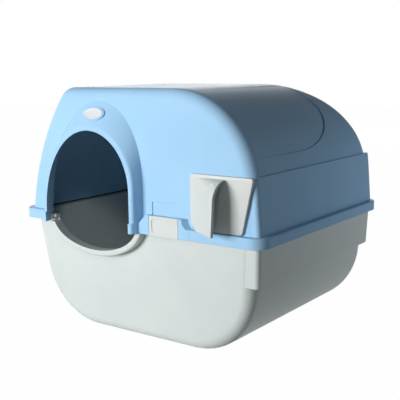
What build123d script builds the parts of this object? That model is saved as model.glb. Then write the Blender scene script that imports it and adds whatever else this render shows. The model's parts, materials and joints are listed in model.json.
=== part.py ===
from build123d import *
from math import acos, asin, atan2, cos, degrees, hypot, radians, sin, tan
import os

# Roll-to-sift litter box. Millimetres, +Z up, front at -Y.
# The origin is on the floor, under the middle of the skirt.

# Overall form
flange_width = 480.0
flange_depth = 396.0
flange_corner_radius = 24.0
box_height = 395.0
hood_height = 220.0
skirt_height = 16.0
wall = 3.2
overrun = 20.0

# Hood barrel
ledge_width = 9.0
shoulder_radius = 150.0
shoulder_inset = 6.0
bow_radius = 400.0
bow_lean = 6.5
left_corner_radius = 32.0
back_arc_radius = 150.0
back_arc_rise = 4.0
hood_front_radius = 18.0
hood_back_radius = 24.0
band_height = 83.0
band_lean = 6.5
band_edge_radius = 7.0
band_set_in = 0.6

# Shallow rolling flat on the right shoulder of the hood
flat_back = 88.0
flat_front = -170.0
flat_drop = 97.0
flat_corner_length = 130.0
flat_corner_height = 72.0
flat_depth = 2.0
flat_crown_margin = 30.0

# Base barrel
base_overhang = 18.0
base_front_overhang = 10.0
base_arc_radius = 112.0
base_arc_inset = 6.0
base_left_inset = 15.0
base_taper = 8.0
base_edge_radius = 18.0
base_band_overhang = 11.0
base_band_lean = 3.0
base_band_drop = 60.0

# Rim joint between the two halves
skirt_wall = 2.8
skirt_round = 2.0
rim_clearance = 0.6
rim_thickness = 4.0
seal_thickness = 2.6
seal_width = 5.0
seal_clearance = 0.3
seal_inset = 0.5
seal_door_gap = 3.0

# Doorway and its visor
door_side_margin = 61.0
door_peak_share = 0.55
door_height = 154.0
door_right_height = 63.0
door_left_height = 18.0
visor_reach = 19.0
visor_edge = 8.0
visor_wall = 3.0
visor_side_spread = 12.0
visor_crown_gap = 14.0
visor_peak_shift = 12.0
visor_right_height = 90.0
visor_left_height = 6.0
visor_round = 5.0
foot_spread = 8.0
foot_reach = 22.0
foot_corner_radius = 5.0
scoop_depth = 47.5
scoop_right_spread = 7.0
scoop_left_set_in = 7.0
lip_width = 9.5
lip_reach = 12.0
lip_round = 3.0
lip_gap = 0.6

# Oval badge on the visor
badge_length = 40.0
badge_height = 19.0
badge_thickness = 2.2
badge_proud = 0.9
badge_fit = 0.15
badge_seat_margin = 3.0
badge_seat_rise = 0.6
badge_seat_depth = 9.0
badge_lift = 26.0

# Clips
clip_gap_from_door = 31.5
clip_gap_from_plate = 20.4
clip_width = 54.6
clip_knuckle_radius = 5.0
clip_plate = 3.0
clip_foot_drop = 0.5
clip_hook_height = 3.4
clip_hook_grip = 2.5
clip_hook_gap = 0.5
clip_panel_margin = 5.0
clip_panel_depth = 0.8
clip_panel_radius = 4.0
clip_side_gap = 0.5
clip_rise = 30.0
trunnion_radius = 2.0
trunnion_length = 2.4
trunnion_clearance = 0.05
trunnion_end_gap = 0.4
housing_cheek = 6.0
housing_left_run = 14.0
housing_right_run = 14.0
housing_flare = 7.0
housing_proud = 0.3
rear_clip_spacing = 220.0

# Waste tray and its channel
plate_right_margin = 7.0
plate_width = 108.0
plate_foot_set_in = 19.0
plate_cut_width = 10.0
plate_cut_height = 9.0
plate_thickness = 5.0
plate_corner_radius = 5.0
plate_round = 1.2
plate_gap = 0.3
plate_foot_gap = 0.8
tray_left_margin = 10.0
tray_foot_width = 61.0
tray_lean = 13.0
tray_height = 65.0
tray_left_height = 40.0
tray_wall = 2.2
tray_floor_radius = 8.0
tray_back_gap = 20.0
tray_running_gap = 0.3
tray_side_gap = 1.2
channel_wall = 2.6
channel_left_height = 9.0
channel_under_gap = 6.0
ear_width = 17.0
ear_height = 24.0
boss_radius = 4.5
boss_height = 6.0
screw_radius = 1.5
screw_head_radius = 3.2
screw_head_height = 2.0
screw_length = 9.0
screw_fit = 0.05
screw_blind = 0.3

# Grip on the plate of the tray
grip_left_margin = 3.0
grip_crest = 55.0
grip_reach = 36.0
grip_top_reach = 29.0
grip_sheet = 5.0
grip_top_rise = 26.0
grip_top_gap = 5.0
grip_pocket_width = 25.0
thumb_radius = 30.0
thumb_depth = 5.0
thumb_across = 33.0
thumb_drop = 24.0

# Sieve screen
sieve_thickness = 3.0
sieve_foot_lift = 5.0
sieve_rise = 38.0
sieve_gap = 0.4
sieve_flange = 12.0
slot_width = 7.0
slot_pitch = 14.0
slot_margin = 14.0
slot_row_length = 74.0
slot_end_margin = 24.0
slot_rib = 10.0
slot_upper_back_gap = 110.0
sieve_screw_count = 4
sieve_screw_length = 4.6

# Places worked out from the sizes above
half_width = flange_width / 2
half_depth = flange_depth / 2
skirt_bottom = box_height - hood_height
ledge_top = skirt_bottom + skirt_height
ledge_under = ledge_top - wall
hood_half_width = half_width - ledge_width
hood_half_depth = half_depth - ledge_width
hood_arc_x = hood_half_width - shoulder_inset - shoulder_radius
hood_arc_height = box_height - shoulder_radius
bow_x = bow_radius * cos(radians(bow_lean)) - hood_half_width
bow_height = ledge_under - bow_radius * sin(radians(bow_lean))
left_corner_height = box_height - left_corner_radius
bow_turn = degrees(asin((left_corner_height - bow_height) / (bow_radius - left_corner_radius)))
left_corner_x = bow_x - (bow_radius - left_corner_radius) * cos(radians(bow_turn))
band_top = ledge_top + band_height
rim_top = ledge_under - seal_thickness - seal_clearance
rim_under = rim_top - rim_thickness
rim_inset = skirt_wall + rim_clearance
base_half_width = half_width - base_overhang
base_half_depth = half_depth - base_front_overhang
base_arc_x = base_half_width - base_arc_inset - base_arc_radius
base_left_arc_x = base_half_width - base_left_inset - base_arc_radius
base_band_bottom = skirt_bottom - base_band_drop
plate_right = hood_half_width - plate_right_margin
plate_left = plate_right - plate_width
clip_middle = plate_left - clip_gap_from_plate - clip_width / 2
clip_top = skirt_bottom + clip_rise
clip_axis_height = clip_top - clip_knuckle_radius
clip_front = -half_depth - housing_proud
clip_axis_y = clip_front + clip_knuckle_radius
door_left = door_side_margin - hood_half_width
door_right = clip_middle - clip_width / 2 - clip_gap_from_door
door_width = door_right - door_left
door_peak_x = door_left + door_peak_share * door_width
door_peak = skirt_bottom + door_height
visor_front = -hood_half_depth - visor_reach
visor_peak = box_height - visor_crown_gap
badge_centre = door_peak + badge_lift
plate_foot = ledge_top + plate_foot_gap
plate_back = -hood_half_depth - plate_gap
plate_front = plate_back - plate_thickness
tray_left = plate_left + tray_left_margin
tray_floor = plate_foot + channel_under_gap
tray_back = hood_half_depth - wall - tray_back_gap
tray_foot_right = tray_left + tray_foot_width
tray_top = tray_floor + tray_height
channel_floor = tray_floor - tray_running_gap
channel_under = channel_floor - channel_wall
channel_left = tray_left - tray_side_gap - channel_wall
channel_right = tray_foot_right + tray_side_gap + channel_wall
channel_half_length = hood_half_depth - wall - boss_height
boss_rise = channel_under + ear_height / 2
boss_places = (channel_left - ear_width / 2, channel_right + ear_width / 2 + tray_lean / 2)


def outline(*points):
    """Flat face inside a closed run of straight edges."""
    return make_face(Polyline(*points, close=True))


def front_prism(face, front, back):
    """Solid over an outline of the front view, from y = front to y = back."""
    return Pos(0, back, 0) * extrude(Plane.XZ * face, amount=back - front)


def side_prism(face, left, right):
    """Solid over an outline of the side view, from x = left to x = right."""
    return Pos(left, 0, 0) * extrude(Plane.YZ * face, amount=right - left)


def plan_prism(face, low, high):
    """Solid over an outline of the plan, from z = low to z = high."""
    return Pos(0, 0, low) * extrude(face, amount=high - low)


def skirt_plan(inset):
    """Rounded plan of the skirt, drawn in by an inset."""
    return RectangleRounded(
        flange_width - 2 * inset, flange_depth - 2 * inset, flange_corner_radius - inset
    )


def along(low, low_value, high, high_value, height):
    """Value at a height on the straight line through two others."""
    return low_value + (high_value - low_value) * (height - low) / (high - low)


def wall_run(side, rim_half, rim, arc_x, arc_height, radius, end):
    """One side of a front section: the round shoulder from its wall up, and the foot of that wall.

    The wall leans out to the rim and runs straight on past it, to the height called end.
    """
    up = 1 if arc_height > rim else -1
    run = rim_half - arc_x
    rise = abs(arc_height - rim)
    touch = degrees(acos(radius / hypot(run, rise)) - atan2(rise, run))
    start = up * touch if side > 0 else 180 - up * touch
    arc = CenterArc((side * arc_x, arc_height), radius, start, side * up * (90 - touch))
    foot_half = along(rim, rim_half, (arc @ 0).Y, side * (arc @ 0).X, end)
    return arc, (side * foot_half, end)


def hood_section(inset, end):
    """Front section of the hood: round shoulder on the right, bowed wall and tight corner on the left."""
    right, right_foot = wall_run(
        1, hood_half_width - inset, ledge_under, hood_arc_x, hood_arc_height, shoulder_radius - inset, end
    )
    corner_centre = (left_corner_x, left_corner_height)
    corner = CenterArc(corner_centre, left_corner_radius - inset, 90, 90 - bow_turn)
    bow = CenterArc((bow_x, bow_height), bow_radius - inset, 180 - bow_turn, bow_turn - bow_lean)
    bow_end = bow @ 1
    left_foot = (bow_end.X - (bow_end.Y - end) * tan(radians(bow_lean)), end)
    foot = Polyline(bow_end, left_foot, right_foot, right @ 0)
    return make_face([right, Line(right @ 1, corner @ 0), corner, bow, foot])


def base_section(inset, end):
    """Front section of the base: round corners at the floor, walls that lean out to the rim."""
    rim_half = base_half_width - inset
    radius = base_arc_radius - inset
    right, right_foot = wall_run(1, rim_half, rim_top, base_arc_x, base_arc_radius, radius, end)
    left, left_foot = wall_run(-1, rim_half, rim_top, base_left_arc_x, base_arc_radius, radius, end)
    foot = Polyline(left @ 0, left_foot, right_foot, right @ 0)
    return make_face([right, Line(right @ 1, left @ 1), left, foot])


def side_band(low_half, low, high_half, high, inner, end_low, end_high):
    """Outline of a band on the right wall, between two heights on its leaning face."""
    return outline(
        (inner, end_low),
        (along(low, low_half, high, high_half, end_low), end_low),
        (along(low, low_half, high, high_half, end_high), end_high),
        (inner, end_high),
    )


def hood_side(inset, end):
    """Side view of the hood as a prism, drawn in by an inset: upright front and rounded back."""
    depth = hood_half_depth - inset
    back_centre = (hood_half_depth - back_arc_radius, box_height + back_arc_rise - back_arc_radius)
    back = CenterArc(back_centre, back_arc_radius - inset, 0, 90)
    crown = (back @ 1).Y
    sides = Polyline(back @ 1, (-depth, crown), (-depth, end), (depth, end), back @ 0)
    return side_prism(make_face([back, sides]), -flange_width, flange_width)


def hood_body(inset, end):
    """Hood as a full solid, drawn in by an inset: barrel, rounded back and the band on its right."""
    body = front_prism(hood_section(inset, end), -flange_depth, flange_depth) & hood_side(inset, end)
    front_edges = body.faces().sort_by(Axis.Y)[0].edges().sort_by(Axis.Z)[1:]
    body = fillet(front_edges, hood_front_radius - inset)
    turned_back = body.faces().filter_by(lambda face: face.normal_at().Y > 0.1)
    edges = [edge for face in turned_back for edge in face.edges()]
    seams = [edge for edge in edges if sum(edge.is_same(other) for other in edges) == 1]
    body = fillet(ShapeList(seams).sort_by(Axis.Z)[1:], hood_back_radius - inset)
    band_half = hood_half_width - inset
    top = band_top - inset
    face = side_band(band_half, ledge_under, band_half - band_lean, band_top, hood_arc_x, end, top)
    band = front_prism(face, -flange_depth, flange_depth) & hood_side(inset + band_set_in, end)
    return body + fillet(upright_edges(band), band_edge_radius - inset)


def base_side(inset, end):
    """Side view of the base as a prism, drawn in by an inset: front and back draw in to the floor."""
    depth = base_half_depth - inset
    end_depth = along(0, depth - base_taper, rim_top, depth, end)
    low_depth = along(0, depth - base_taper, rim_top, depth, -overrun)
    face = outline((-end_depth, end), (-low_depth, -overrun), (low_depth, -overrun), (end_depth, end))
    return side_prism(face, -flange_width, flange_width)


def base_body(inset, end):
    """Base as a full solid, drawn in by an inset: a shallow barrel and the band on its right."""
    body = front_prism(base_section(inset, end), -flange_depth, flange_depth) & base_side(inset, end)
    for turn in (0, -1):
        end_face = body.faces().sort_by(Axis.Y)[turn]
        body = fillet(end_face.edges().sort_by(Axis.Z)[:-1], base_edge_radius - inset)
    band_half = half_width - base_band_overhang - inset
    band_foot = base_band_bottom + inset
    face = side_band(
        band_half - base_band_lean, base_band_bottom, band_half, rim_top, base_arc_x, band_foot, end
    )
    band = front_prism(face, -flange_depth, flange_depth) & base_side(inset + band_set_in, end)
    return body + fillet(upright_edges(band), band_edge_radius - inset)


def upright_edges(band):
    """The front and back edges of a side band, from its foot to its top."""
    outside = band.faces().filter_by(lambda face: face.normal_at().X > 0.5)
    edges = [edge for face in outside for edge in face.edges()]
    return ShapeList([edge for edge in edges if abs(edge.tangent_at(0).Z) > 0.5])


def arch_face(left, right, peak_x, peak, left_spring, right_spring):
    """Doorway outline: straight feet, then a quarter ellipse up each side to one peak."""
    right_arc = EllipticalCenterArc(
        (peak_x, right_spring), right - peak_x, peak - right_spring, 0, arc_size=90
    )
    left_arc = EllipticalCenterArc(
        (peak_x, left_spring), peak_x - left, peak - left_spring, 90, arc_size=90
    )
    feet = Polyline(left_arc @ 1, (left, skirt_bottom), (right, skirt_bottom), right_arc @ 0)
    return make_face([right_arc, left_arc, feet])


def door_face(grow):
    """Clear opening at the front edge of the visor, grown by its edge."""
    return arch_face(
        door_left - grow,
        door_right + grow,
        door_peak_x,
        door_peak + grow,
        skirt_bottom + door_left_height,
        skirt_bottom + door_right_height,
    )


def visor_face(grow):
    """Outline where the visor meets the front wall, grown or drawn in."""
    return arch_face(
        door_left - visor_side_spread - grow,
        door_right + visor_side_spread + grow,
        door_peak_x + visor_peak_shift,
        visor_peak + grow,
        skirt_bottom + visor_left_height,
        skirt_bottom + visor_right_height,
    )


def scoop_face(grow):
    """Lower half of the doorway in the base, grown by the lip."""
    right = door_right + scoop_right_spread + grow
    left = door_left + scoop_left_set_in - grow
    centre = (door_peak_x, rim_top)
    depth = scoop_depth + grow
    left_arc = EllipticalCenterArc(centre, door_peak_x - left, depth, 180, arc_size=90)
    right_arc = EllipticalCenterArc(centre, right - door_peak_x, depth, 270, arc_size=90)
    top = Polyline(right_arc @ 1, (right, rim_top + overrun), (left, rim_top + overrun), left_arc @ 0)
    return make_face([left_arc, right_arc, top])


def at_front(y):
    """Plane of the front view at a given y."""
    return Plane.XZ.offset(-y)


def rolling_flat():
    """Thin layer taken off the right shoulder, deepest at its back edge, fading out to the front."""
    drum = Rot(90, 0, 0) * Cylinder(shoulder_radius, 2 * flange_depth)
    tilt = degrees(atan2(flat_depth, flat_back - flat_front))
    drum = Pos(hood_arc_x, flat_front, hood_arc_height) * Rot(0, 0, tilt) * drum
    flat_foot = box_height - flat_drop
    corner_centre = (flat_back - flat_corner_length, flat_foot + flat_corner_height)
    corner = EllipticalCenterArc(corner_centre, flat_corner_length, flat_corner_height, 270, arc_size=90)
    sides = Polyline(
        corner @ 1,
        (flat_back, box_height + overrun),
        (flat_front - overrun, box_height + overrun),
        (flat_front - overrun, flat_foot),
        corner @ 0,
    )
    patch = make_face([corner, sides])
    return side_prism(patch, hood_arc_x + flat_crown_margin, flange_width) - drum


def clip_housing(middle):
    """Raised block of the hood around one clip: a ramp on its left, a flared hollow slope on its right."""
    half = clip_width / 2 + clip_side_gap + housing_cheek
    left = middle - half - housing_left_run
    drop = clip_top - ledge_top + skirt_round

    def side(flare):
        right = middle + half + housing_right_run + flare
        hollow = EllipticalCenterArc((right, clip_top), housing_right_run, drop, 180, arc_size=90)
        sides = Polyline(
            hollow @ 1,
            (right, skirt_bottom),
            (left, skirt_bottom),
            (left, ledge_top),
            (middle - half, clip_top),
            hollow @ 0,
        )
        return make_face([hollow, sides])

    front = -half_depth - housing_proud
    return loft([at_front(front) * side(0), at_front(wall / 2 - hood_half_depth) * side(housing_flare)])


def clip_axle(middle, grow, end_gap):
    """The pair of trunnions of one clip as one bar, or the bore for it."""
    reach = clip_width + 2 * (clip_side_gap + trunnion_length + end_gap)
    bar = Rot(0, 90, 0) * Cylinder(trunnion_radius + grow, reach)
    return Pos(middle, clip_axis_y, clip_axis_height) * bar


def clip_window(middle):
    """Room for one clip in its housing, with the bore for its trunnions."""
    half = clip_width / 2 + clip_side_gap
    back = clip_axis_y + clip_knuckle_radius + clip_side_gap
    face = outline(
        (middle - half, skirt_bottom - overrun),
        (middle + half, skirt_bottom - overrun),
        (middle + half, clip_top + overrun),
        (middle - half, clip_top + overrun),
    )
    room = front_prism(face, -half_depth - overrun, back)
    return room + clip_axle(middle, trunnion_clearance, trunnion_end_gap)


def clip_shape(middle):
    """Snap clip: knuckle on top with a square front edge, plate with a sunk panel, hook under the rim."""
    hook_top = rim_under - clip_hook_gap
    hook_tip = rim_inset + clip_hook_grip - half_depth
    foot = skirt_bottom - clip_foot_drop
    back = clip_front + clip_plate
    plate = outline(
        (clip_front, foot),
        (back, foot),
        (back, clip_axis_height),
        (clip_axis_y, clip_axis_height),
        (clip_axis_y, clip_top),
        (clip_front, clip_top),
    )
    hook = outline(
        (clip_front, foot),
        (back, foot),
        (hook_tip, hook_top - clip_hook_height / 2),
        (hook_tip, hook_top),
        (clip_front, hook_top),
    )
    knuckle = Pos(clip_axis_y, clip_axis_height) * Circle(clip_knuckle_radius)
    clip = side_prism(plate + hook + knuckle, middle - clip_width / 2, middle + clip_width / 2)
    panel_height = clip_top - foot - 2 * clip_panel_margin
    panel = Pos(middle, (clip_top + foot) / 2) * RectangleRounded(
        clip_width - 2 * clip_panel_margin, panel_height, clip_panel_radius
    )
    clip -= front_prism(panel, clip_front - overrun, clip_front + clip_panel_depth)
    return clip + clip_axle(middle, 0, 0)


def tray_section(grow, top_grow, left_height):
    """Front section of the trough: upright left wall, flat floor, right wall leaning out."""
    lean = tray_lean * top_grow / tray_height
    return outline(
        (tray_left - grow, tray_floor - grow),
        (tray_foot_right + grow, tray_floor - grow),
        (tray_foot_right + tray_lean + lean + grow, tray_top + top_grow),
        (tray_left - grow, tray_floor + left_height + top_grow),
    )


def wall_edge(height):
    """Outer face of the leaning wall of the channel at a given height."""
    return channel_right + tray_lean * (height - channel_floor) / (tray_top - channel_floor)


def screw(length):
    """Pan-head screw, driven along -Z from its seat at the origin."""
    shank = Cylinder(screw_radius, length, align=(Align.CENTER, Align.CENTER, Align.MAX))
    head = Cylinder(screw_head_radius, screw_head_height, align=(Align.CENTER, Align.CENTER, Align.MIN))
    return shank + chamfer(head.edges().sort_by(Axis.Z)[-1], screw_head_height / 2)


def screw_bore(length):
    """Bore for a screw, from its seat down."""
    reach = length + screw_blind
    return Cylinder(screw_radius + screw_fit, reach, align=(Align.CENTER, Align.CENTER, Align.MAX))


# Screw places: four at the ears of the channel, a row along the foot of the screen
channel_seats = []
for x in boss_places:
    for turn in (-1, 1):
        seat = Plane((x, turn * (channel_half_length - channel_wall), boss_rise), z_dir=(0, -turn, 0))
        channel_seats.append(seat)
sieve_seat_height = tray_top - sieve_flange / 2
sieve_lean = atan2(tray_lean, tray_top - channel_floor)
sieve_seats = []
for number in range(sieve_screw_count):
    y = channel_half_length * ((2 * number + 1) / sieve_screw_count - 1)
    place = (wall_edge(sieve_seat_height) + sieve_thickness, y, sieve_seat_height)
    sieve_seats.append(Plane(place, z_dir=(cos(sieve_lean), 0, -sin(sieve_lean))))

# Badge place, on the slope of the visor over the doorway
slope_run = visor_front - wall + hood_half_depth
slope_rise = visor_peak - door_peak - visor_edge
slope_share = (badge_centre - door_peak - visor_edge) / slope_rise
badge_plane = Plane(
    (door_peak_x + slope_share * visor_peak_shift, visor_front - slope_share * slope_run, badge_centre),
    x_dir=(1, 0, 0),
    z_dir=(0, -slope_rise, -slope_run),
)
badge_front = badge_seat_rise + badge_proud


def badge_oval(grow, low, high):
    """Oval block on the badge's plane between two heights over the slope."""
    face = Ellipse(badge_length / 2 + grow, badge_height / 2 + grow)
    return badge_plane * (Pos(0, 0, low) * extrude(face, amount=high - low))


def hood_shell():
    """Upper shell with skirt, visor, clip housings, bosses and tray slot."""
    shell = hood_body(0, skirt_bottom) - rolling_flat()
    skirt = plan_prism(skirt_plan(0), skirt_bottom, ledge_top)
    skirt = fillet(skirt.edges().group_by(Axis.Z)[-1], skirt_round)
    foot_width = door_width + 2 * foot_spread
    foot = Pos((door_left + door_right) / 2, -hood_half_depth) * RectangleRounded(
        foot_width, 2 * foot_reach, foot_corner_radius
    )
    wall_back = wall - hood_half_depth
    visor = loft([at_front(visor_front) * door_face(visor_edge), at_front(wall_back) * visor_face(0)])
    visor = fillet(visor.faces().sort_by(Axis.Y)[0].edges().sort_by(Axis.Z)[1:], visor_round)
    badge_seat = badge_oval(badge_seat_margin, -badge_seat_depth, badge_seat_rise)
    housings = [clip_housing(clip_middle)]
    windows = [clip_window(clip_middle)]
    for side in (-1, 1):
        housings.append(Rot(0, 0, 180) * clip_housing(side * rear_clip_spacing / 2))
        windows.append(Rot(0, 0, 180) * clip_window(side * rear_clip_spacing / 2))
    shell += [skirt, plan_prism(foot, skirt_bottom, ledge_top), visor, badge_seat] + housings
    shell -= hood_body(wall, skirt_bottom - overrun)
    shell -= plan_prism(skirt_plan(skirt_wall), skirt_bottom - overrun, ledge_under)
    shell -= front_prism(door_face(0), -half_depth - foot_reach, wall_back + wall)
    room_back = at_front(wall_back + wall)
    shell -= loft([at_front(visor_front) * door_face(0), room_back * visor_face(-visor_wall)])
    shell -= windows
    bosses = []
    for seat in channel_seats:
        length = boss_height + wall / 2
        boss = Cylinder(boss_radius, length, align=(Align.CENTER, Align.CENTER, Align.MAX))
        bosses.append(seat * (Pos(0, 0, -channel_wall) * boss))
    shell += bosses
    shell -= [seat * screw_bore(screw_length) for seat in channel_seats]
    slot = tray_section(tray_side_gap, tray_side_gap, tray_height)
    shell -= front_prism(slot, -half_depth, wall_back + overrun)
    return shell - badge_oval(badge_fit, badge_front - badge_thickness, badge_front + overrun)


def base_tub():
    """Lower shell with its rim, the lower half of the doorway and the lip round it."""
    tub = base_body(0, rim_top)
    rim = plan_prism(skirt_plan(rim_inset), rim_under, rim_top)
    lip_front = -base_half_depth - lip_reach
    lip = front_prism(scoop_face(lip_width), lip_front, base_taper / 2 - base_half_depth)
    lip -= plan_prism(Rectangle(flange_width, flange_depth * 2), skirt_bottom - lip_gap, box_height)
    tub += [rim, lip]
    tub -= base_body(wall, rim_top + overrun)
    tub -= front_prism(scoop_face(0), -half_depth - lip_reach, overrun - base_half_depth)
    front_edges = tub.faces().sort_by(Axis.Y)[0].edges()
    return fillet(front_edges.filter_by(GeomType.ELLIPSE), lip_round)


def rim_seal():
    """Soft strip on the rim of the base, open at the doorway."""
    inset = rim_inset + seal_inset
    strip = skirt_plan(inset) - skirt_plan(inset + seal_width)
    gap_left = door_left - foot_spread - seal_door_gap
    gap_right = door_right + foot_spread + seal_door_gap
    gap = outline((gap_left, -flange_depth), (gap_right, -flange_depth), (gap_right, 0), (gap_left, 0))
    return plan_prism(strip - gap, rim_top, rim_top + seal_thickness)


def waste_tray():
    """Open trough of the tray, low on its left where the clumps come in."""
    trough = front_prism(tray_section(0, 0, tray_left_height), plate_back, tray_back)
    floor_edges = trough.faces().sort_by(Axis.Z)[0].edges().filter_by(Axis.Y)
    trough = fillet(floor_edges, tray_floor_radius)
    room = front_prism(
        tray_section(-tray_wall, overrun, tray_left_height), plate_back + tray_wall, tray_back - tray_wall
    )
    room_edges = room.faces().sort_by(Axis.Z)[0].edges().filter_by(Axis.Y)
    return trough - fillet(room_edges, tray_floor_radius - tray_wall)


def tray_front():
    """Front plate of the tray, with a ramped grip that the fingers reach behind from the right."""
    foot_right = plate_right - plate_foot_set_in
    face = outline(
        (plate_left, plate_foot + plate_cut_height),
        (plate_left + plate_cut_width, plate_foot),
        (foot_right, plate_foot),
        (plate_right, band_top),
        (plate_left, band_top),
    )
    plate = front_prism(fillet(face.vertices(), plate_corner_radius), plate_front, plate_back)
    plate = fillet(plate.faces().sort_by(Axis.Y)[0].edges(), plate_round)

    grip_left = plate_left + grip_left_margin
    crest_run = plate_left + grip_crest - grip_left
    root = plate_front + plate_thickness / 2
    grip_top = band_top - grip_top_gap
    spring = grip_top - grip_top_rise
    spring_reach = along(plate_foot, grip_reach, band_top, grip_top_reach, spring)
    right = grip_left + crest_run + grip_sheet + overrun

    def body_plan(height):
        reach = along(plate_foot, grip_reach, band_top, grip_top_reach, height)
        ramp = Vector(crest_run, -reach).normalized()
        crest = Vector(grip_left + crest_run, plate_front - reach)
        inner = crest + Vector(-ramp.Y, ramp.X) * (2 * grip_sheet)
        corners = ((grip_left, root), (grip_left, plate_front), crest, inner, (inner.X, root))
        return Pos(0, 0, height) * outline(*corners)

    def pocket_plan(height):
        reach = along(plate_foot, grip_reach, band_top, grip_top_reach, height)
        ramp = Vector(crest_run, -reach).normalized()
        edge = Vector(grip_left + crest_run, plate_front - reach) + Vector(-ramp.Y, ramp.X) * grip_sheet
        start = edge - ramp * (grip_pocket_width / ramp.X)
        end = edge + ramp * ((right - edge.X) / ramp.X)
        return Pos(0, 0, height) * outline((start.X, plate_front), start, end, (right, plate_front))

    def dome(inset, low):
        reach = spring_reach - inset
        arc = EllipticalCenterArc((plate_front, spring), reach, grip_top_rise - inset, 90, arc_size=90)
        clear_y = plate_front - grip_reach - overrun
        sides = Polyline(arc @ 1, (clear_y, low), (root, low), (root, (arc @ 0).Y), arc @ 0)
        return side_prism(make_face([arc, sides]), plate_left, right)

    low = plate_foot - overrun
    grip = loft([body_plan(plate_foot), body_plan(band_top)]) & dome(0, low)
    grip -= loft([pocket_plan(low), pocket_plan(band_top)]) & dome(grip_sheet, low)
    thumb_height = grip_top - thumb_drop
    thumb_reach = along(plate_foot, grip_reach, band_top, grip_top_reach, thumb_height)
    thumb_ramp = Vector(crest_run, -thumb_reach).normalized()
    thumb_out = Vector(thumb_ramp.Y, -thumb_ramp.X) * (thumb_radius - thumb_depth)
    thumb = Vector(grip_left, plate_front) + thumb_ramp * (thumb_across / thumb_ramp.X) + thumb_out
    return plate + (grip - Pos(thumb.X, thumb.Y, thumb_height) * Sphere(thumb_radius))


def tray_channel():
    """Open channel that carries the tray, with an ear at each corner for its screw."""
    floor_right = tray_foot_right + tray_side_gap
    lip_left = tray_left - tray_side_gap
    lip_top = channel_floor + channel_left_height
    section = outline(
        (channel_left, channel_under),
        (channel_right, channel_under),
        (channel_right, channel_floor),
        (channel_right + tray_lean, tray_top),
        (floor_right + tray_lean, tray_top),
        (floor_right, channel_floor),
        (lip_left, channel_floor),
        (lip_left, lip_top),
        (channel_left, lip_top),
    )
    channel = front_prism(section, -channel_half_length, channel_half_length)
    left_ear = outline(
        (channel_left - ear_width, channel_under),
        (lip_left, channel_under),
        (lip_left, lip_top),
        (channel_left, channel_under + ear_height),
        (channel_left - ear_width, channel_under + ear_height),
    )
    ear_right = channel_right + ear_width + tray_lean / 2
    right_ear = outline(
        (floor_right, channel_under),
        (ear_right, channel_under),
        (ear_right, channel_under + ear_height),
        (wall_edge(channel_under + ear_height), channel_under + ear_height),
        (channel_right, channel_floor),
    )
    for ear in (left_ear, right_ear):
        channel += front_prism(ear, -channel_half_length, channel_wall - channel_half_length)
        channel += front_prism(ear, channel_half_length - channel_wall, channel_half_length)
    channel -= [seat * screw_bore(screw_length) for seat in channel_seats]
    return channel - [seat * screw_bore(sieve_screw_length) for seat in sieve_seats]


def sieve_screen():
    """Slotted screen from the top of the channel up to the crown of the hood."""
    foot = tray_top - sieve_flange
    knee = tray_top + sieve_foot_lift
    flange = outline(
        (wall_edge(foot), foot),
        (wall_edge(foot) + sieve_thickness, foot),
        (wall_edge(knee) + sieve_thickness, knee),
        (wall_edge(knee), knee),
    )
    slope = radians(sieve_rise)
    start = Vector(wall_edge(knee) + sieve_thickness, knee)
    climb = Vector(-cos(slope), sin(slope))
    inward = Vector(-sin(slope), -cos(slope))
    end = start + climb * flange_width
    panel = outline(start, end, end + inward * sieve_thickness, start + inward * sieve_thickness)
    screen = front_prism(flange, -flange_depth, flange_depth)
    screen += front_prism(panel, -flange_depth, flange_depth)
    screen &= hood_body(wall + sieve_gap, foot - overrun)
    sheet = Plane((start.X, 0, start.Y), x_dir=(climb.X, 0, climb.Y), z_dir=(-inward.X, 0, -inward.Y))
    front = slot_end_margin - hood_half_depth
    rows = (hood_half_depth - 2 * slot_end_margin, hood_half_depth - slot_upper_back_gap)
    for row, back in enumerate(rows):
        middle = slot_margin + slot_row_length / 2 + row * (slot_row_length + slot_rib)
        count = int((back - front) / slot_pitch)
        slots = [
            Pos(middle, -front - number * slot_pitch) * SlotOverall(slot_row_length, slot_width)
            for number in range(count + 1)
        ]
        screen -= sheet * extrude(Sketch() + slots, amount=overrun, both=True)
    return screen - [seat * screw_bore(sieve_screw_length) for seat in sieve_seats]


parts = {
    "base_tub": base_tub(),
    "rim_seal": rim_seal(),
    "hood_shell": hood_shell(),
    "badge_oval": badge_oval(0, badge_front - badge_thickness, badge_front),
    "tray_channel": tray_channel(),
    "channel_screws": Compound(children=[seat * screw(screw_length) for seat in channel_seats]),
    "sieve_screen": sieve_screen(),
    "sieve_screws": Compound(children=[seat * screw(sieve_screw_length) for seat in sieve_seats]),
    "waste_tray": waste_tray(),
    "tray_front": tray_front(),
    "front_clip": clip_shape(clip_middle),
    "rear_clip_left": Rot(0, 0, 180) * clip_shape(rear_clip_spacing / 2),
    "rear_clip_right": Rot(0, 0, 180) * clip_shape(-rear_clip_spacing / 2),
}

os.makedirs("parts", exist_ok=True)
for name, shape in parts.items():
    export_step(shape, f"parts/{name}.step")
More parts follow.
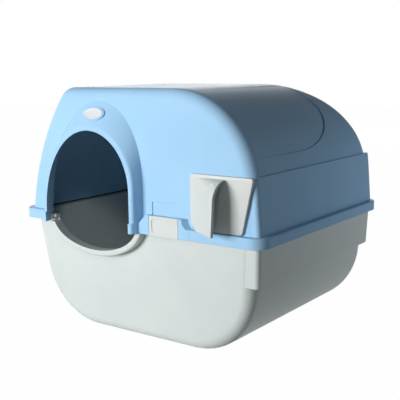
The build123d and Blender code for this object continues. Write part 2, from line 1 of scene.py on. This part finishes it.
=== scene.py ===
import json
import math
import bpy
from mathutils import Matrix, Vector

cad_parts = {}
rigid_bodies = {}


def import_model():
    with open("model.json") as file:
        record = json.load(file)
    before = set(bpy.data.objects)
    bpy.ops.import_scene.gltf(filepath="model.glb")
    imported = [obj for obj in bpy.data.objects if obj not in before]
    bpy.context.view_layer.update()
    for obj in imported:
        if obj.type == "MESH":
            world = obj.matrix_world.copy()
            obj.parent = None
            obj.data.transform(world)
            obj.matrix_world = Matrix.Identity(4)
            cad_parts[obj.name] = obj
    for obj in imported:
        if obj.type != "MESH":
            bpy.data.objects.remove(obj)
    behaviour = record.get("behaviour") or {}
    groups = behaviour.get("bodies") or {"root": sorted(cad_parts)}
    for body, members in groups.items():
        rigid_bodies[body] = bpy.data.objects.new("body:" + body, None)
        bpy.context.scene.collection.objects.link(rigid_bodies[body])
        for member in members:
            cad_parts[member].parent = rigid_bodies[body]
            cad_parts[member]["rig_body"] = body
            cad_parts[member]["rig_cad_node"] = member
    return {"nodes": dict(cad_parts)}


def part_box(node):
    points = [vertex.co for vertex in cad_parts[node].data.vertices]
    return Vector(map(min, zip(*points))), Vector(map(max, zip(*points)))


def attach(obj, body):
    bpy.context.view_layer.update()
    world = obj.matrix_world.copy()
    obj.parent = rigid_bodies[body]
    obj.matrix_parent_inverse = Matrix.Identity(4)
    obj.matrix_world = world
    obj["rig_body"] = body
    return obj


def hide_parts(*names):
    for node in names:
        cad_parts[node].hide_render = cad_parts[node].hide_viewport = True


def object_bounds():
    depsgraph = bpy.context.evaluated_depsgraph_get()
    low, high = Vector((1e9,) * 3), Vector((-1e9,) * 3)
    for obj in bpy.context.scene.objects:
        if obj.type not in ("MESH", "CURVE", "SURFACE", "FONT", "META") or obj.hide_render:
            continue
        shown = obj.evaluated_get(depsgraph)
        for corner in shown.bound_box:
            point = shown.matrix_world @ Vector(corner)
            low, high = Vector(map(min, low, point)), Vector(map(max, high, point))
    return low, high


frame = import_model()
nodes = frame["nodes"]
cad_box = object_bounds()


# Base tub: the grey lower shell that holds the litter, with its rim and the lower half of the doorway.
# Injection-moulded polypropylene in a pale cool grey, finely textured outside, about 3 mm thick.
base_grey = (0.59, 0.65, 0.64)
base_grey_deep = (0.56, 0.62, 0.615)
# Paler tone for the painted highlight on the edges.
base_grey_highlight = (0.70, 0.75, 0.74)


class Shade:
    """A value or colour on its way through a material; sums and products on it add Math nodes."""

    def __init__(self, tree, socket=None):
        self.tree = tree
        self.socket = socket

    def node(self, kind, settings, inputs, output=0):
        """Adds one node: its settings come first, then the values or links of its sockets."""
        made = self.tree.nodes.new(kind)
        for name, value in settings.items():
            setattr(made, name, value)
        for key, value in inputs.items():
            if isinstance(value, Shade):
                self.tree.links.new(value.socket, made.inputs[key])
            else:
                made.inputs[key].default_value = value
        return Shade(self.tree, made.outputs[output])

    def maths(self, operation, first, second):
        settings = {"operation": operation}
        return self.node("ShaderNodeMath", settings, {0: first, 1: second})

    def __add__(self, other):
        return self.maths("ADD", self, other)

    def __radd__(self, other):
        return self.maths("ADD", other, self)

    def __sub__(self, other):
        return self.maths("SUBTRACT", self, other)

    def __rsub__(self, other):
        return self.maths("SUBTRACT", other, self)

    def __mul__(self, other):
        return self.maths("MULTIPLY", self, other)

    def __rmul__(self, other):
        return self.maths("MULTIPLY", other, self)

    def clipped(self, low, high):
        """This value spread from low..high to 0..1, with the rest cut off."""
        limits = {"Value": self, "From Min": low, "From Max": high, "To Min": 0.0, "To Max": 1.0}
        return self.node("ShaderNodeMapRange", {"clamp": True}, limits)

    def mixed(self, first, second):
        """The first colour where this value is 0, the second where it is 1."""
        ends = [c if isinstance(c, Shade) else (*c, 1.0) for c in (first, second)]
        inputs = {0: self, 6: ends[0], 7: ends[1]}
        return self.node("ShaderNodeMix", {"data_type": "RGBA"}, inputs, output=2)


def moulded(name, colour, deep, edge_highlight_colour, rough, specular, grain_pitch, grain_depth, edge_radius):
    """Moulded plastic: slow flow clouds in the colour, a fine sparked grain, and a painted highlight that
    makes the edges paler.
    """
    material = bpy.data.materials.new(name)
    material.use_nodes = True
    tree = material.node_tree
    shader = tree.nodes["Principled BSDF"]
    edge_from, edge_to = 0.02, 0.25
    cloud_from, cloud_to = 0.35, 0.68
    # Strength of the painted edge highlight: a least share, and more where the flow clouds are high.
    highlight_least, highlight_by_cloud = 0.25, 0.5
    cloud_roughness, grain_roughness = 0.10, 0.06
    noise_mean = 0.5
    start = Shade(tree)
    place = start.node("ShaderNodeTexCoord", {}, {}, output="Object")
    slow = {"Vector": place, "Scale": 11.0, "Detail": 4.0, "Roughness": 0.55}
    fine = {"Vector": place, "Scale": 1.0 / grain_pitch, "Detail": 2.0}
    cloud = start.node("ShaderNodeTexNoise", {}, slow)
    grain = start.node("ShaderNodeTexNoise", {}, fine)
    rounded = start.node("ShaderNodeBevel", {"samples": 6}, {"Radius": edge_radius})
    flat = start.node("ShaderNodeNewGeometry", {}, {}, output="Normal")
    cosine = {"operation": "DOT_PRODUCT"}
    turn = start.node("ShaderNodeVectorMath", cosine, {0: rounded, 1: flat}, output="Value")
    # Painted highlight: along rounded edges the colour is mixed toward a paler tone, standing in for light
    # caught on the edges.
    edge = (1.0 - turn).clipped(edge_from, edge_to)
    body = cloud.clipped(cloud_from, cloud_to).mixed(deep, colour)
    painted_edge_highlight = edge * (highlight_least + highlight_by_cloud * cloud)
    tree.links.new(painted_edge_highlight.mixed(body, edge_highlight_colour).socket, shader.inputs["Base Color"])
    roughness = rough + cloud_roughness * (cloud - noise_mean) + grain_roughness * (grain - noise_mean)
    tree.links.new(roughness.socket, shader.inputs["Roughness"])
    sockets = {"Height": grain, "Normal": rounded, "Strength": 0.35, "Distance": grain_depth}
    bump = start.node("ShaderNodeBump", {}, sockets)
    tree.links.new(bump.socket, shader.inputs["Normal"])
    shader.inputs["Specular IOR Level"].default_value = specular
    return material


def finish_with(node_name, material):
    """Gives a CAD node its material."""
    mesh = nodes[node_name].data
    mesh.materials.clear()
    mesh.materials.append(material)


finish_with("base_tub", moulded(
    "grey_tub_plastic", base_grey, base_grey_deep, base_grey_highlight,
    rough=0.46, specular=0.25, grain_pitch=0.0011, grain_depth=0.0003, edge_radius=0.0012,
))


# Rim seal: a soft black strip that lies on the rim of the tub and is pressed by the ledge of the hood.
# Extruded rubber with a rounded back, cut open in front of the doorway and glued down.
seal_round = 0.0011
seal_round_steps = 4
seal_merge = 0.00001
seal_flat_angle = math.radians(1.0)
seal_corner_angle = math.radians(50.0)
smooth_angle = math.radians(35.0)
seal_black = (0.030, 0.030, 0.033)
seal_black_deep = (0.022, 0.022, 0.024)
# Paler tone for the painted highlight on the edges.
seal_black_highlight = (0.05, 0.05, 0.052)
bpy.ops.object.select_all(action="DESELECT")
bpy.context.view_layer.objects.active = nodes["rim_seal"]
nodes["rim_seal"].select_set(True)
bpy.ops.object.duplicate()
seal = bpy.context.object
seal.name = "rim_seal_strip"
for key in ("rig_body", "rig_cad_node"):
    del seal[key]
seal.parent = None
bpy.ops.object.mode_set(mode="EDIT")
bpy.ops.mesh.select_all(action="SELECT")
bpy.ops.mesh.customdata_custom_splitnormals_clear()
bpy.ops.mesh.remove_doubles(threshold=seal_merge)
bpy.ops.mesh.dissolve_limited(angle_limit=seal_flat_angle)
bpy.ops.object.mode_set(mode="OBJECT")
rounding = seal.modifiers.new("rounded_back", "BEVEL")
rounding.width = seal_round
rounding.segments = seal_round_steps
rounding.limit_method = "ANGLE"
rounding.angle_limit = seal_corner_angle
bpy.ops.object.modifier_apply(modifier=rounding.name)
bpy.ops.object.shade_smooth_by_angle(angle=smooth_angle)
seal.data.materials.clear()
seal.data.materials.append(moulded(
    "black_seal_rubber", seal_black, seal_black_deep, seal_black_highlight,
    rough=0.78, specular=0.30, grain_pitch=0.0006, grain_depth=0.0002, edge_radius=0.0005,
))
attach(seal, "base")
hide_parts("rim_seal")


# Hood shell: the blue upper shell with its visor over the doorway, skirt, clip housings and tray slot.
# One moulding of satin polypropylene about 3 mm thick, lifted off the tub when the clips are open.
hood_blue = (0.370, 0.610, 0.850)
hood_blue_deep = (0.350, 0.590, 0.835)
# Paler tone for the painted highlight on the edges.
hood_blue_highlight = (0.450, 0.680, 0.900)
finish_with("hood_shell", moulded(
    "blue_hood_plastic", hood_blue, hood_blue_deep, hood_blue_highlight,
    rough=0.20, specular=0.012, grain_pitch=0.0014, grain_depth=0.0002, edge_radius=0.0012,
))


# Badge: a bare oval plate pressed into its seat on the slope of the visor, over the doorway.
# Glossy pale plastic with a raised rim all round and a plain sunk field inside it.
badge_rim = 0.0016
badge_sink = 0.0007
badge_round = 0.00035
badge_round_steps = 3
badge_sides = 96
badge_corner_angle = math.radians(30.0)
badge_smooth_angle = math.radians(40.0)
badge_pale = (0.66, 0.71, 0.76)
badge_pale_deep = (0.62, 0.68, 0.74)
# Paler tone for the painted highlight on the edges.
badge_pale_highlight = (0.80, 0.83, 0.86)
looks_forward, looks_up = -0.3, 0.9
low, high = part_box("badge_oval")
front_faces = [face for face in nodes["badge_oval"].data.polygons if face.normal.y < looks_forward]
front_face = max(front_faces, key=lambda face: face.area)
badge_tilt = math.atan2(front_face.normal.z, -front_face.normal.y)
badge_length = high.x - low.x
depth, rise = high.y - low.y, high.z - low.z
thickness = (depth * math.cos(badge_tilt) - rise * math.sin(badge_tilt)) / math.cos(2 * badge_tilt)
badge_height = (rise - thickness * math.sin(badge_tilt)) / math.cos(badge_tilt)
bpy.ops.object.select_all(action="DESELECT")
bpy.ops.mesh.primitive_cylinder_add(vertices=badge_sides, radius=0.5, depth=1.0)
badge = bpy.context.object
badge.name = "badge_plate"
bpy.ops.object.mode_set(mode="EDIT")
bpy.ops.mesh.select_all(action="SELECT")
bpy.ops.transform.resize(value=(badge_length, badge_height, thickness))
bpy.ops.mesh.select_all(action="DESELECT")
bpy.ops.object.mode_set(mode="OBJECT")
for face in badge.data.polygons:
    face.select = face.normal.z > looks_up
bpy.ops.object.mode_set(mode="EDIT")
bpy.ops.mesh.select_mode(type="FACE")
bpy.ops.mesh.inset(thickness=badge_rim)
bpy.ops.mesh.inset(thickness=badge_sink)
bpy.ops.transform.translate(value=(0.0, 0.0, -badge_sink))
bpy.ops.mesh.select_all(action="SELECT")
bpy.ops.transform.rotate(
    value=-(math.pi / 2 - badge_tilt), orient_axis="X", center_override=(0.0, 0.0, 0.0)
)
bpy.ops.transform.translate(value=(low + high) / 2)
bpy.ops.object.mode_set(mode="OBJECT")
rounding = badge.modifiers.new("rounded_rim", "BEVEL")
rounding.width = badge_round
rounding.segments = badge_round_steps
rounding.limit_method = "ANGLE"
rounding.angle_limit = badge_corner_angle
bpy.ops.object.modifier_apply(modifier=rounding.name)
bpy.ops.object.shade_smooth_by_angle(angle=badge_smooth_angle)
badge.data.materials.append(moulded(
    "pale_badge_plastic", badge_pale, badge_pale_deep, badge_pale_highlight,
    rough=0.24, specular=0.50, grain_pitch=0.0008, grain_depth=0.0001, edge_radius=0.0004,
))
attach(badge, "hood")
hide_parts("badge_oval")


# Tray channel and sieve screen: the runner that carries the tray, and the slotted screen above it.
# Plain grey polypropylene mouldings inside the hood, each held by zinc-plated pan-head screws.
inner_grey = (0.40, 0.43, 0.45)
inner_grey_deep = (0.36, 0.39, 0.41)
# Paler tone for the painted highlight on the edges.
inner_grey_highlight = (0.48, 0.51, 0.53)
zinc_bright = (0.62, 0.63, 0.66)
zinc_dull = (0.54, 0.55, 0.58)
# Paler tone for the painted highlight on the edges.
zinc_highlight = (0.80, 0.81, 0.83)
inner_plastic = moulded(
    "inner_grey_plastic", inner_grey, inner_grey_deep, inner_grey_highlight,
    rough=0.50, specular=0.38, grain_pitch=0.0012, grain_depth=0.0003, edge_radius=0.0008,
)
for inner in ("tray_channel", "sieve_screen"):
    finish_with(inner, inner_plastic)
zinc = moulded(
    "zinc_plated_steel", zinc_bright, zinc_dull, zinc_highlight,
    rough=0.36, specular=0.50, grain_pitch=0.0004, grain_depth=0.00005, edge_radius=0.0003,
)
zinc.node_tree.nodes["Principled BSDF"].inputs["Metallic"].default_value = 1.0
for screws in ("channel_screws", "sieve_screws"):
    finish_with(screws, zinc)


# Waste tray: the open trough behind the front plate, where the sifted clumps collect.
# Thin grey polypropylene with a rounded floor, low on its left side; it slides in the channel.
finish_with("waste_tray", inner_plastic)


# Tray front: the pale plate that closes the tray slot, with the ramped grip for the fingers.
# Off-white satin polypropylene; the grip is a cowled sheet with a thumb dent, open on its right side,
# moulded in one with the plate, which is fixed to the front end of the trough.
plate_thickness = 0.005
plate_width = 0.108
plate_foot_set_in = 0.019
plate_cut_width = 0.010
plate_cut_height = 0.009
plate_corner_round = 0.005
plate_corner_steps = 6
plate_edge_round = 0.0012
plate_edge_steps = 4
grip_left_margin = 0.003
grip_run = 0.058
grip_lean = 0.010
grip_sheet = 0.0061
grip_foot_reach = 0.036
grip_top_reach = 0.029
grip_top_gap = 0.005
cowl_rise = 0.026
grip_sunk = 0.0025
grip_foot_gap = 0.0003
grip_foot_slack = 0.00001
pocket_end_share = 0.52
dent_depth = 0.0050
dent_height = 0.034
dent_top_gap = 0.0045
dent_step = 0.0028
dent_sag = 0.010
dent_middle_share = 0.68
dent_half_share = 0.34
ramp_steps = 44
pocket_steps = 6
grip_levels = 72
crowding_to_top = 1.7
trim_pale = (0.60, 0.64, 0.625)
trim_pale_deep = (0.57, 0.61, 0.60)
# Paler tone for the painted highlight on the edges.
trim_pale_highlight = (0.78, 0.81, 0.80)
low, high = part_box("tray_front")
plate_front = high.y - plate_thickness
grip_left = low.x + grip_left_margin
grip_top = high.z - grip_top_gap
cowl_spring = grip_top - cowl_rise
plate_right = low.x + plate_width
plate_corners = [
    (low.x, low.z + plate_cut_height), (low.x + plate_cut_width, low.z),
    (plate_right - plate_foot_set_in, low.z), (plate_right, high.z), (low.x, high.z),
]
bpy.ops.object.select_all(action="DESELECT")
bpy.ops.mesh.primitive_circle_add(vertices=len(plate_corners), radius=plate_width, fill_type="NGON")
tray_plate = bpy.context.object
tray_plate.name = "tray_front_plate"
for point, (across, height) in zip(tray_plate.data.vertices, plate_corners):
    point.co = (across, plate_front, height)
bpy.ops.object.mode_set(mode="EDIT")
bpy.ops.mesh.select_all(action="SELECT")
bpy.ops.mesh.bevel(offset=plate_corner_round, segments=plate_corner_steps, affect="VERTICES")
bpy.ops.mesh.select_all(action="SELECT")
bpy.ops.mesh.extrude_region_move(TRANSFORM_OT_translate={"value": (0.0, plate_thickness, 0.0)})
bpy.ops.mesh.select_mode(type="VERT")
bpy.ops.mesh.select_all(action="SELECT")
bpy.ops.mesh.normals_make_consistent(inside=False)
bpy.ops.mesh.select_all(action="DESELECT")
bpy.ops.object.mode_set(mode="OBJECT")
for point in tray_plate.data.vertices:
    point.select = point.co.y < plate_front + plate_thickness / 2
bpy.ops.object.mode_set(mode="EDIT")
bpy.ops.mesh.bevel(offset=plate_edge_round, segments=plate_edge_steps, affect="EDGES")
bpy.ops.object.mode_set(mode="OBJECT")

ramp_stops = [k / ramp_steps for k in range(ramp_steps + 1)]
pocket_stops = [1.0 - (1.0 - pocket_end_share) * k / pocket_steps for k in range(pocket_steps + 1)]
stops = [("sunk", 0.0)]
stops += [("ramp", share) for share in ramp_stops]
stops += [("pocket", share) for share in pocket_stops]
stops += [("sunk", pocket_end_share)]


def eased(value):
    """A smooth step from 0 to 1."""
    value = min(max(value, 0.0), 1.0)
    return value * value * (3.0 - 2.0 * value)


def grip_height(kind, share, height):
    """How far a point of the grip stands in front of the plate."""
    level = (height - low.z) / (high.z - low.z)
    reach = grip_foot_reach + (grip_top_reach - grip_foot_reach) * level
    cowl = min(max((height - cowl_spring) / cowl_rise, 0.0), 1.0)
    stand = reach * math.sqrt(1.0 - cowl * cowl) * share
    if kind == "sunk":
        return -grip_sunk
    if kind == "pocket":
        return max(stand - grip_sheet, -grip_sunk)
    across = (share - dent_middle_share) / dent_half_share
    drop = grip_top - dent_top_gap - dent_sag * across * across - height
    dent = eased(drop / dent_step) * (1.0 - eased(drop / dent_height)) * (1.0 - eased(abs(across)))
    return max(stand - dent_depth * dent, -grip_sunk)


def grip_foot(across):
    """Lower end of the grip at a place across the plate, whose lower left corner is cut off."""
    cut = max(1.0 - (across - low.x) / plate_cut_width, 0.0)
    return low.z + grip_foot_gap + plate_cut_height * cut


bpy.ops.object.select_all(action="DESELECT")
bpy.ops.mesh.primitive_grid_add(x_subdivisions=len(stops) - 1, y_subdivisions=grip_levels, size=1.0)
grip = bpy.context.object
grip.name = "tray_grip"
for point in grip.data.vertices:
    kind, share = stops[round((point.co.x + 0.5) * (len(stops) - 1))]
    level = point.co.y + 0.5
    across = grip_left + grip_run * share
    foot = grip_foot(across)
    height = foot + (grip_top - foot) * (1.0 - (1.0 - level) ** crowding_to_top)
    across += grip_lean * (1.0 - share) * (height - low.z) / (high.z - low.z)
    point.co = (across, plate_front - grip_height(kind, share, height), height)
bpy.ops.object.mode_set(mode="EDIT")
bpy.ops.mesh.select_mode(type="VERT")
bpy.ops.mesh.select_all(action="DESELECT")
bpy.ops.object.mode_set(mode="OBJECT")
for point in grip.data.vertices:
    point.select = point.co.z < grip_foot(point.co.x) + grip_foot_slack
bpy.ops.object.mode_set(mode="EDIT")
bpy.ops.mesh.edge_face_add()
bpy.ops.mesh.select_all(action="DESELECT")
bpy.ops.mesh.select_non_manifold()
bpy.ops.mesh.edge_face_add()
bpy.ops.mesh.select_all(action="SELECT")
bpy.ops.mesh.normals_make_consistent(inside=False)
bpy.ops.object.mode_set(mode="OBJECT")
bpy.ops.object.select_all(action="DESELECT")
bpy.context.view_layer.objects.active = tray_plate
tray_plate.select_set(True)
joining = tray_plate.modifiers.new("moulded_in_one", "BOOLEAN")
joining.operation = "UNION"
joining.solver = "MANIFOLD"
joining.object = grip
bpy.ops.object.modifier_apply(modifier=joining.name)
bpy.ops.object.select_all(action="DESELECT")
grip.select_set(True)
bpy.ops.object.delete()
tray_plate.select_set(True)
bpy.context.view_layer.objects.active = tray_plate
bpy.ops.object.shade_smooth_by_angle(angle=smooth_angle)
trim_plastic = moulded(
    "pale_trim_plastic", trim_pale, trim_pale_deep, trim_pale_highlight,
    rough=0.40, specular=0.30, grain_pitch=0.0011, grain_depth=0.0002, edge_radius=0.0010,
)
tray_plate.data.materials.clear()
tray_plate.data.materials.append(trim_plastic)
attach(tray_plate, "tray")
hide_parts("tray_front")


# Snap clips: three pale latches that hold the hood on the tub, one in front and two behind.
# They are of the same moulding stock as the tray front and hang on trunnions in their housings.
for clip in ("front_clip", "rear_clip_left", "rear_clip_right"):
    finish_with(clip, trim_plastic)


# Studio: a plain pale floor that melts into a white surround but keeps the shadow of the box,
# a broad soft lamp in front on the left, a weaker one behind with a white card for the roof to mirror,
# a small cool one behind on the right, and a faint narrow one that looks down into the doorway.
floor_half = 6.0
floor_tone = (0.60, 0.60, 0.60)
floor_roughness = 0.9
paper_share = 0.99
pure_white = (1.0, 1.0, 1.0, 1.0)
ambient = (0.90, 0.95, 1.0)
ambient_strength = 0.03
bpy.ops.object.select_all(action="DESELECT")
bpy.ops.mesh.primitive_plane_add(size=2 * floor_half)
floor = bpy.context.object
floor.name = "studio_floor"
paper = bpy.data.materials.new("studio_paper")
paper.use_nodes = True
tree = paper.node_tree
start = Shade(tree)
paper_shader = tree.nodes["Principled BSDF"]
paper_shader.inputs["Base Color"].default_value = (*floor_tone, 1.0)
paper_shader.inputs["Roughness"].default_value = floor_roughness
paper_shader.inputs["Specular IOR Level"].default_value = 0.0


def seen_directly(shade):
    """1 for rays from the camera and for mirrored or refracted ones, 0 for the rest."""
    path = shade.tree.nodes.new("ShaderNodeLightPath")
    kinds = ("Camera", "Glossy", "Transmission")
    seen = [Shade(shade.tree, path.outputs[f"Is {kind} Ray"]) for kind in kinds]
    return shade.maths("MINIMUM", seen[0] + seen[1] + seen[2], 1.0)


glow = start.node("ShaderNodeEmission", {}, {"Color": pure_white, "Strength": 1.0})
matt = Shade(tree, paper_shader.outputs[0])
sheet = start.node("ShaderNodeMixShader", {}, {0: paper_share * seen_directly(start), 1: matt, 2: glow})
tree.links.new(sheet.socket, tree.nodes["Material Output"].inputs["Surface"])
floor.data.materials.append(paper)

world = bpy.data.worlds.new("studio_world")
bpy.context.scene.world = world
world.use_nodes = True
tree = world.node_tree
start = Shade(tree)
backdrop = start.node("ShaderNodeBackground", {}, {"Color": pure_white, "Strength": 1.0})
air = start.node("ShaderNodeBackground", {}, {"Color": (*ambient, 1.0), "Strength": ambient_strength})
sky = start.node("ShaderNodeMixShader", {}, {0: seen_directly(start), 1: air, 2: backdrop})
tree.links.new(sky.socket, tree.nodes["World Output"].inputs["Surface"])

middle = (cad_box[0] + cad_box[1]) / 2
doorway = (-0.11, -0.19, 0.19)
open_spread = 180.0
white, cool, warm = (1.0, 0.99, 0.98), (0.86, 0.93, 1.0), (1.0, 0.98, 0.95)
lamps = {
    "key_lamp": {"place": (-1.5, -3.7, 0.60), "size": 1.8, "power": 195.0, "tint": white},
    "back_lamp": {"place": (-1.5, 3.6, 1.3), "size": 1.6, "power": 60.0, "tint": white, "mirrored": False},
    "roof_card": {"place": (-2.4, 3.4, 0.75), "size": 2.6, "power": 16.0, "tint": white},
    "side_lamp": {"place": (0.82, 0.52, 0.22), "size": 0.4, "power": 1.3, "tint": cool, "mirrored": False},
    "door_lamp": {
        "place": (0.62, -1.25, 1.15), "size": 0.3, "power": 0.11, "tint": warm,
        "aim": doorway, "spread": 25.0,
    },
}
for name, lamp in lamps.items():
    light = bpy.data.lights.new(name, "AREA")
    light.size = lamp["size"]
    light.energy = lamp["power"]
    light.color = lamp["tint"]
    light.spread = math.radians(lamp.get("spread", open_spread))
    stand = bpy.data.objects.new(name, light)
    bpy.context.scene.collection.objects.link(stand)
    stand.location = lamp["place"]
    stand.visible_camera = False
    stand.visible_glossy = lamp.get("mirrored", True)
    aim = stand.location.copy()
    aim[:] = lamp.get("aim", middle)
    stand.rotation_euler = (aim - stand.location).to_track_quat("-Z", "Y").to_euler()


# Camera: a little above the roof, to the right of the front, as in the photograph.
# Its place, turn and lens were fitted to the corners of the box that the photograph shows.
view_turn = math.radians(35.97)
view_dip = math.radians(9.82)
view_roll = math.radians(-0.65)
view_place = (0.776, -1.079, 0.426)
view_lens = 69.56
view_sensor = 36.0
camera_data = bpy.data.cameras.new("product_camera")
camera_data.lens = view_lens
camera_data.sensor_width = view_sensor
camera = bpy.data.objects.new("product_camera", camera_data)
bpy.context.scene.collection.objects.link(camera)
camera.location = view_place
camera.rotation_euler = (math.pi / 2 - view_dip, 0.0, view_turn)
camera.rotation_euler.rotate_axis("Z", view_roll)
bpy.context.scene.camera = camera
bpy.context.scene.view_settings.view_transform = "Standard"
